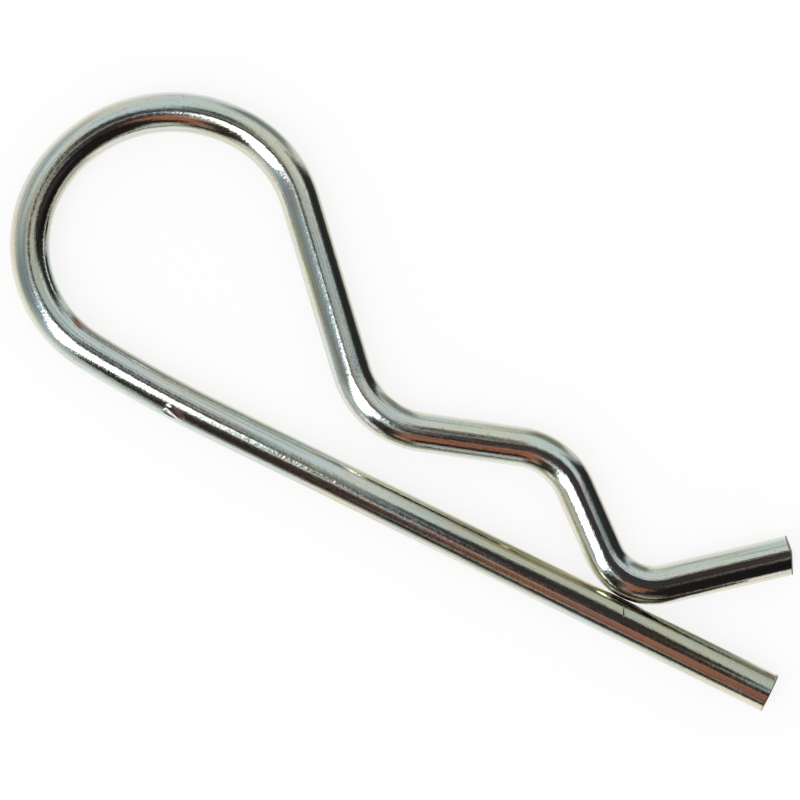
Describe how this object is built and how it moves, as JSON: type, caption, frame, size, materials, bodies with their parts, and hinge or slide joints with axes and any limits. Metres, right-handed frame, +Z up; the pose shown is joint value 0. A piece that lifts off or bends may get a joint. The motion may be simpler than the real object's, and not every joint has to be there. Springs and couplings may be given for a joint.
{
  "type": "hitch r clip pin",
  "caption": "Spring clip bent from one round wire: a straight leg passes through a shaft's cross hole, a waved arm snaps over the shaft, and a round loop is the finger pull.",
  "frame": {"origin": "under the middle of the clip's outline, on the surface that the clip lies on", "axes": "+X along the straight leg towards its cut end, +Y from the leg towards the waved arm, +Z up, square to the plane that the wire is bent in"},
  "size_m": [0.0894, 0.0312, 0.004],
  "materials": {
    "zinc_plate": "bright zinc plate with a clear blue passivation over drawn spring wire"
  },
  "bodies": {
    "root": {"clip_wire": "zinc_plate"}
  },
  "joints": []
}
